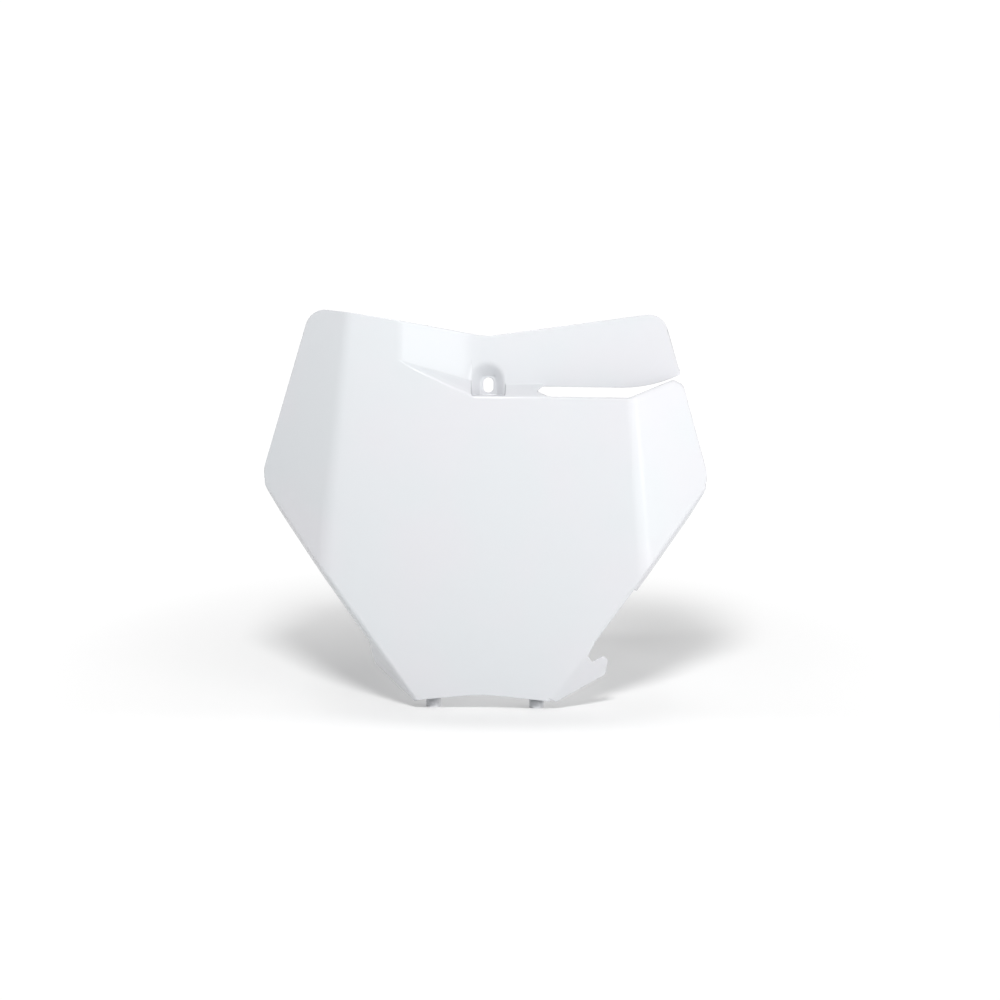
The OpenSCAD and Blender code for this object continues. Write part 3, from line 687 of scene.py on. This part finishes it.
# One mesh of all parts, moved so that the screw seat is at the origin: each is merged, freed of slivers, closed and
# turned outwards, and where it has a round its sharp edges are bevelled.
def buildMesh(name, parts):
    whole = bmesh.new()
    for pts, groups, soft in parts:
        placed = (pts - [b["shift"], b["seatDepth"], 0.0]) * toMetres
        mesh = bpy.data.meshes.new(name)
        mesh.from_pydata(placed.tolist(), [], [f for group in groups for f in group.tolist()])
        one = bmesh.new()
        one.from_mesh(mesh)
        bmesh.ops.delete(one, geom=[v for v in one.verts if not v.link_faces], context="VERTS")
        bmesh.ops.remove_doubles(one, verts=one.verts, dist=joining["merge"])
        bmesh.ops.dissolve_degenerate(one, dist=joining["sliver"], edges=one.edges)
        bmesh.ops.holes_fill(one, edges=[e for e in one.edges if e.is_boundary], sides=0)
        bmesh.ops.recalc_face_normals(one, faces=one.faces)
        if soft:
            sharp = [e for e in one.edges if e.calc_face_angle(0) > joining["sharpAngle"]]
            bmesh.ops.bevel(one, geom=sharp, offset=soft * toMetres, segments=joining["roundSteps"], profile=0.5,
                            affect="EDGES", clamp_overlap=True)
        one.to_mesh(mesh)
        one.free()
        whole.from_mesh(mesh)
        bpy.data.meshes.remove(mesh)
    mesh = bpy.data.meshes.new(name)
    whole.to_mesh(mesh)
    whole.free()
    mesh.shade_smooth()
    obj = bpy.data.objects.new(name, mesh)
    scene.collection.objects.link(obj)
    weigh = obj.modifiers.new("weighNormals", "WEIGHTED_NORMAL")
    weigh.mode, weigh.weight = "FACE_AREA", joining["normalWeight"]
    return obj


boardObj = buildMesh("numberBoardShell", [(boardPts, boardFaces, 0.0), (armPts, armFaces, 0.0)] + pegParts(pegs))
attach(boardObj, "root")
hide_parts("number_board")
print("board built:", len(boardObj.data.polygons), "faces")


# A value into a socket, as a link or as its setting.
def feed(tree, value, socket):
    if isinstance(value, bpy.types.NodeSocket):
        tree.links.new(value, socket)
    else:
        socket.default_value = value


# A Math node on two values.
def mathNode(tree, operation, first, second):
    node = tree.nodes.new("ShaderNodeMath")
    node.operation = operation
    for socket, value in zip(node.inputs, (first, second)):
        feed(tree, value, socket)
    return node.outputs[0]


# A Map Range node: low to high becomes first to last, held at both ends, evenly or by 3 t^2 - 2 t^3.
def rangeNode(tree, value, low, high, first, last, smooth=False):
    node = tree.nodes.new("ShaderNodeMapRange")
    if smooth:
        node.interpolation_type = "SMOOTHSTEP"
    for name, item in zip(("Value", "From Min", "From Max", "To Min", "To Max"), (value, low, high, first, last)):
        feed(tree, item, node.inputs[name])
    return node.outputs["Result"]


plastic = {
    "cool": (0.608, 0.628, 0.648, 1.0), "warm": (0.620, 0.624, 0.648, 1.0), "worn": (0.56, 0.57, 0.575, 1.0),
    "tintScale": 16.0, "tintFrom": 0.4, "tintTo": 0.6, "lightBend": 1.49,
    "roughScale": 240.0, "roughFrom": 0.35, "roughTo": 0.65, "rough": (0.20, 0.27), "patchy": (0.2, 1.0),
    "grainScale": 2200.0, "grain": 0.035, "grainHeight": 0.00004,
    "edgeFrom": 0.53, "edgeTo": 0.62, "edgeWear": 0.35, "edgeRough": 0.12,
}


# Gloss moulded plastic: faint cool and warm drift, fine grain, uneven gloss, and edges dulled by handling. The wear
# is the pointedness of the surface times a patchy noise.
def makePlastic(p):
    mat = bpy.data.materials.new("glossWhitePlastic")
    mat.use_nodes = True
    tree = mat.node_tree
    nodes, links = tree.nodes, tree.links
    shader = nodes["Principled BSDF"]
    shader.inputs["IOR"].default_value = p["lightBend"]
    coords = nodes.new("ShaderNodeTexCoord").outputs["Object"]

    # Noise that sits still on the board, as it reads the board's own coordinates.
    def noise(scale, detail):
        node = nodes.new("ShaderNodeTexNoise")
        node.inputs["Scale"].default_value, node.inputs["Detail"].default_value = scale, detail
        links.new(coords, node.inputs["Vector"])
        return node.outputs["Fac"]

    # first * (1 - share) + second * share
    def mixed(share, first, second):
        node = nodes.new("ShaderNodeMix")
        node.data_type = "RGBA"
        for k, value in ((0, share), (6, first), (7, second)):
            feed(tree, value, node.inputs[k])
        return node.outputs[2]

    pointed = nodes.new("ShaderNodeNewGeometry").outputs["Pointiness"]
    edge = rangeNode(tree, pointed, p["edgeFrom"], p["edgeTo"], 0.0, p["edgeWear"])
    patches = rangeNode(tree, noise(p["roughScale"], 4.0), p["roughFrom"], p["roughTo"], *p["patchy"])
    wear = mathNode(tree, "MULTIPLY", edge, patches)
    drift = rangeNode(tree, noise(p["tintScale"], 2.0), p["tintFrom"], p["tintTo"], 0.0, 1.0)
    links.new(mixed(wear, mixed(drift, p["cool"], p["warm"]), p["worn"]), shader.inputs["Base Color"])
    gloss = rangeNode(tree, noise(p["roughScale"], 3.0), p["roughFrom"], p["roughTo"], *p["rough"])
    dulled = mathNode(tree, "MULTIPLY", wear, p["edgeRough"])
    links.new(mathNode(tree, "ADD", gloss, dulled), shader.inputs["Roughness"])
    bump = nodes.new("ShaderNodeBump")
    bump.inputs["Strength"].default_value, bump.inputs["Distance"].default_value = p["grain"], p["grainHeight"]
    links.new(noise(p["grainScale"], 2.0), bump.inputs["Height"])
    links.new(bump.outputs["Normal"], shader.inputs["Normal"])
    return mat


boardObj.data.materials.append(makePlastic(plastic))
print("plastic ready")

# The floor, its patches of painted shadow and painted light as (place, size, change), the lights and the world
# around.
studio = {
    "floorZ": -0.18902, "floorRise": 13.0, "riseFrom": 0.0, "riseTo": 0.40, "riseSoft": 0.02, "floorWhite": 0.965,
    "glowFrom": 0.17, "glowTo": 0.40, "glow": 1.04,
    # Painted shadows, darkening the floor's white paint: in front of the foot, and beside the board at the right.
    "paintedShadows": [((0.006, -0.015, 0.0), (0.145, 0.165, 10.0), 0.24),
               ((0.117, 0.180, -0.15), (0.080, 0.105, 10.0), 0.30)],
    # Painted light: glow added to the floor just behind the foot, which lightens the shadow there.
    "lift": ((0.006, 0.02, 0.0), (0.105, 0.12, 10.0), 0.22),
    "rear": 1.04, "front": 0.17, "right": 0.56, "up": 0.22, "rearFrom": 0.3, "rearTo": 0.85,
}


# The floor as a grid, level in front, rising behind the board and level again beyond, so that the shadow shows. Its
# height is tan(rise) times the difference of two soft ramps, each soft * log(1 + exp(v / soft)).
def makeFloor(s):
    y = np.concatenate([[-6, -2, -0.6, -0.2], np.linspace(-0.1, 0.6, 57), [0.8, 1.5, 3, 7]])
    x = np.array([-6.0, -1.0, 0.0, 1.0, 6.0])
    soft = lambda v: s["riseSoft"] * np.log1p(np.exp(np.clip(v / s["riseSoft"], -60, 60)))
    rise = math.tan(math.radians(s["floorRise"])) * (soft(y - s["riseFrom"]) - soft(y - s["riseTo"]))
    grid = np.stack(np.broadcast_arrays(x[:, None], y[None, :], s["floorZ"] + rise[None, :]), -1).reshape(-1, 3)
    ids = np.arange(len(grid)).reshape(len(x), len(y))
    faces = np.stack([ids[:-1, :-1], ids[1:, :-1], ids[1:, 1:], ids[:-1, 1:]], -1).reshape(-1, 4)
    mesh = bpy.data.meshes.new("floor")
    mesh.from_pydata(grid.tolist(), [], faces.tolist())
    mesh.shade_smooth()
    obj = bpy.data.objects.new("floor", mesh)
    scene.collection.objects.link(obj)
    mesh.materials.append(floorMaterial(s))


# White paint near the board that gives way to an even glow farther out, as an endless lit sweep would show, by the
# distance from the origin. Patches paint shadow near the foot and at the right, and paint light just behind the foot.
def floorMaterial(s):
    mat = bpy.data.materials.new("paleFloor")
    mat.use_nodes = True
    tree = mat.node_tree
    shader = tree.nodes["Principled BSDF"]
    for name, value in (("Roughness", 0.9), ("Specular IOR Level", 0.0), ("Emission Color", (1, 1, 1, 1))):
        shader.inputs[name].default_value = value
    point = tree.nodes.new("ShaderNodeTexCoord").outputs["Object"]

    # A Vector Math node on its values.
    def vectorNode(operation, *values):
        node = tree.nodes.new("ShaderNodeVectorMath")
        node.operation = operation
        for socket, value in zip(node.inputs, values):
            feed(tree, value, socket)
        return node.outputs["Value" if operation == "LENGTH" else "Vector"]

    # middle where r is 0 and outside where it is 1 or more, with r = |(point - place) / size|
    def patch(place, size, middle, outside):
        r = vectorNode("LENGTH", vectorNode("DIVIDE", vectorNode("SUBTRACT", point, place), size))
        return rangeNode(tree, r, 0.0, 1.0, middle, outside, smooth=True)

    away = vectorNode("LENGTH", point)
    whiteAndPaintedShadow = rangeNode(tree, away, s["glowFrom"], s["glowTo"], s["floorWhite"], 0.0, smooth=True)
    glow = rangeNode(tree, away, s["glowFrom"], s["glowTo"], 0.0, s["glow"], smooth=True)
    # Painted shadows: each patch darkens the white paint.
    for place, size, shade in s["paintedShadows"]:
        whiteAndPaintedShadow = mathNode(tree, "MULTIPLY", whiteAndPaintedShadow, patch(place, size, 1.0 - shade, 1.0))
    # Painted light: the lift patch adds glow just behind the foot.
    place, size, lift = s["lift"]
    glow = mathNode(tree, "ADD", glow, patch(place, size, lift, 0.0))
    tree.links.new(whiteAndPaintedShadow, shader.inputs["Base Color"])
    tree.links.new(glow, shader.inputs["Emission Strength"])
    return mat


makeFloor(studio)
print("floor ready")

# Area lights in metres and watts: a small round key from the upper left, a wide dim panel at the right, and a slim
# bright one in it that draws the streak along the right bend.
lamps = {
    "key": {"form": "DISK", "size": (0.25, 0.25), "power": 6.8, "place": (-0.06, -0.80, 0.58), "aim": (0, 0, -0.1)},
    "side": {"form": "RECTANGLE", "size": (1.2, 0.8), "power": 6.5,
             "place": (1.08, -0.85, -0.02), "aim": (0, 0, -0.05)},
    "slim": {"form": "RECTANGLE", "size": (0.10, 0.5), "power": 0.9,
             "place": (1.14, -0.77, -0.02), "aim": (0, 0, -0.05)},
}


# An area light at its place, turned so that its -z points at its aim.
def addLight(name, lamp):
    light = bpy.data.lights.new(name, "AREA")
    light.energy, light.shape = lamp["power"], lamp["form"]
    light.size, light.size_y = lamp["size"]
    obj = bpy.data.objects.new(name, light)
    scene.collection.objects.link(obj)
    way = Vector(lamp["aim"]) - Vector(lamp["place"])
    obj.matrix_world = Matrix.Translation(lamp["place"]) @ way.to_track_quat("-Z", "Y").to_matrix().to_4x4()


for name, lamp in lamps.items():
    addLight(name, lamp)


# The world by direction: white behind the board; in front dim, and brighter to the right and above, each by its share
# of the direction. The two go over into each other by the direction's y.
def makeWorld(s):
    world = bpy.data.worlds.new("studio")
    world.use_nodes = True
    tree = world.node_tree
    split = tree.nodes.new("ShaderNodeSeparateXYZ")
    tree.links.new(tree.nodes.new("ShaderNodeTexCoord").outputs["Generated"], split.inputs[0])
    front = s["front"]
    for axis, share in (("X", s["right"]), ("Z", s["up"])):
        lobe = mathNode(tree, "MAXIMUM", split.outputs[axis], 0.0)
        front = mathNode(tree, "ADD", mathNode(tree, "MULTIPLY", lobe, share), front)
    behind = rangeNode(tree, split.outputs["Y"], s["rearFrom"], s["rearTo"], 0.0, 1.0, smooth=True)
    ahead = mathNode(tree, "MULTIPLY", front, mathNode(tree, "SUBTRACT", 1.0, behind))
    total = mathNode(tree, "ADD", ahead, mathNode(tree, "MULTIPLY", behind, s["rear"]))
    tree.nodes["Background"].inputs["Color"].default_value = (1, 1, 1, 1)
    tree.links.new(total, tree.nodes["Background"].inputs["Strength"])
    scene.world = world


makeWorld(studio)
scene.view_settings.view_transform = "Standard"
print("lights and world ready")
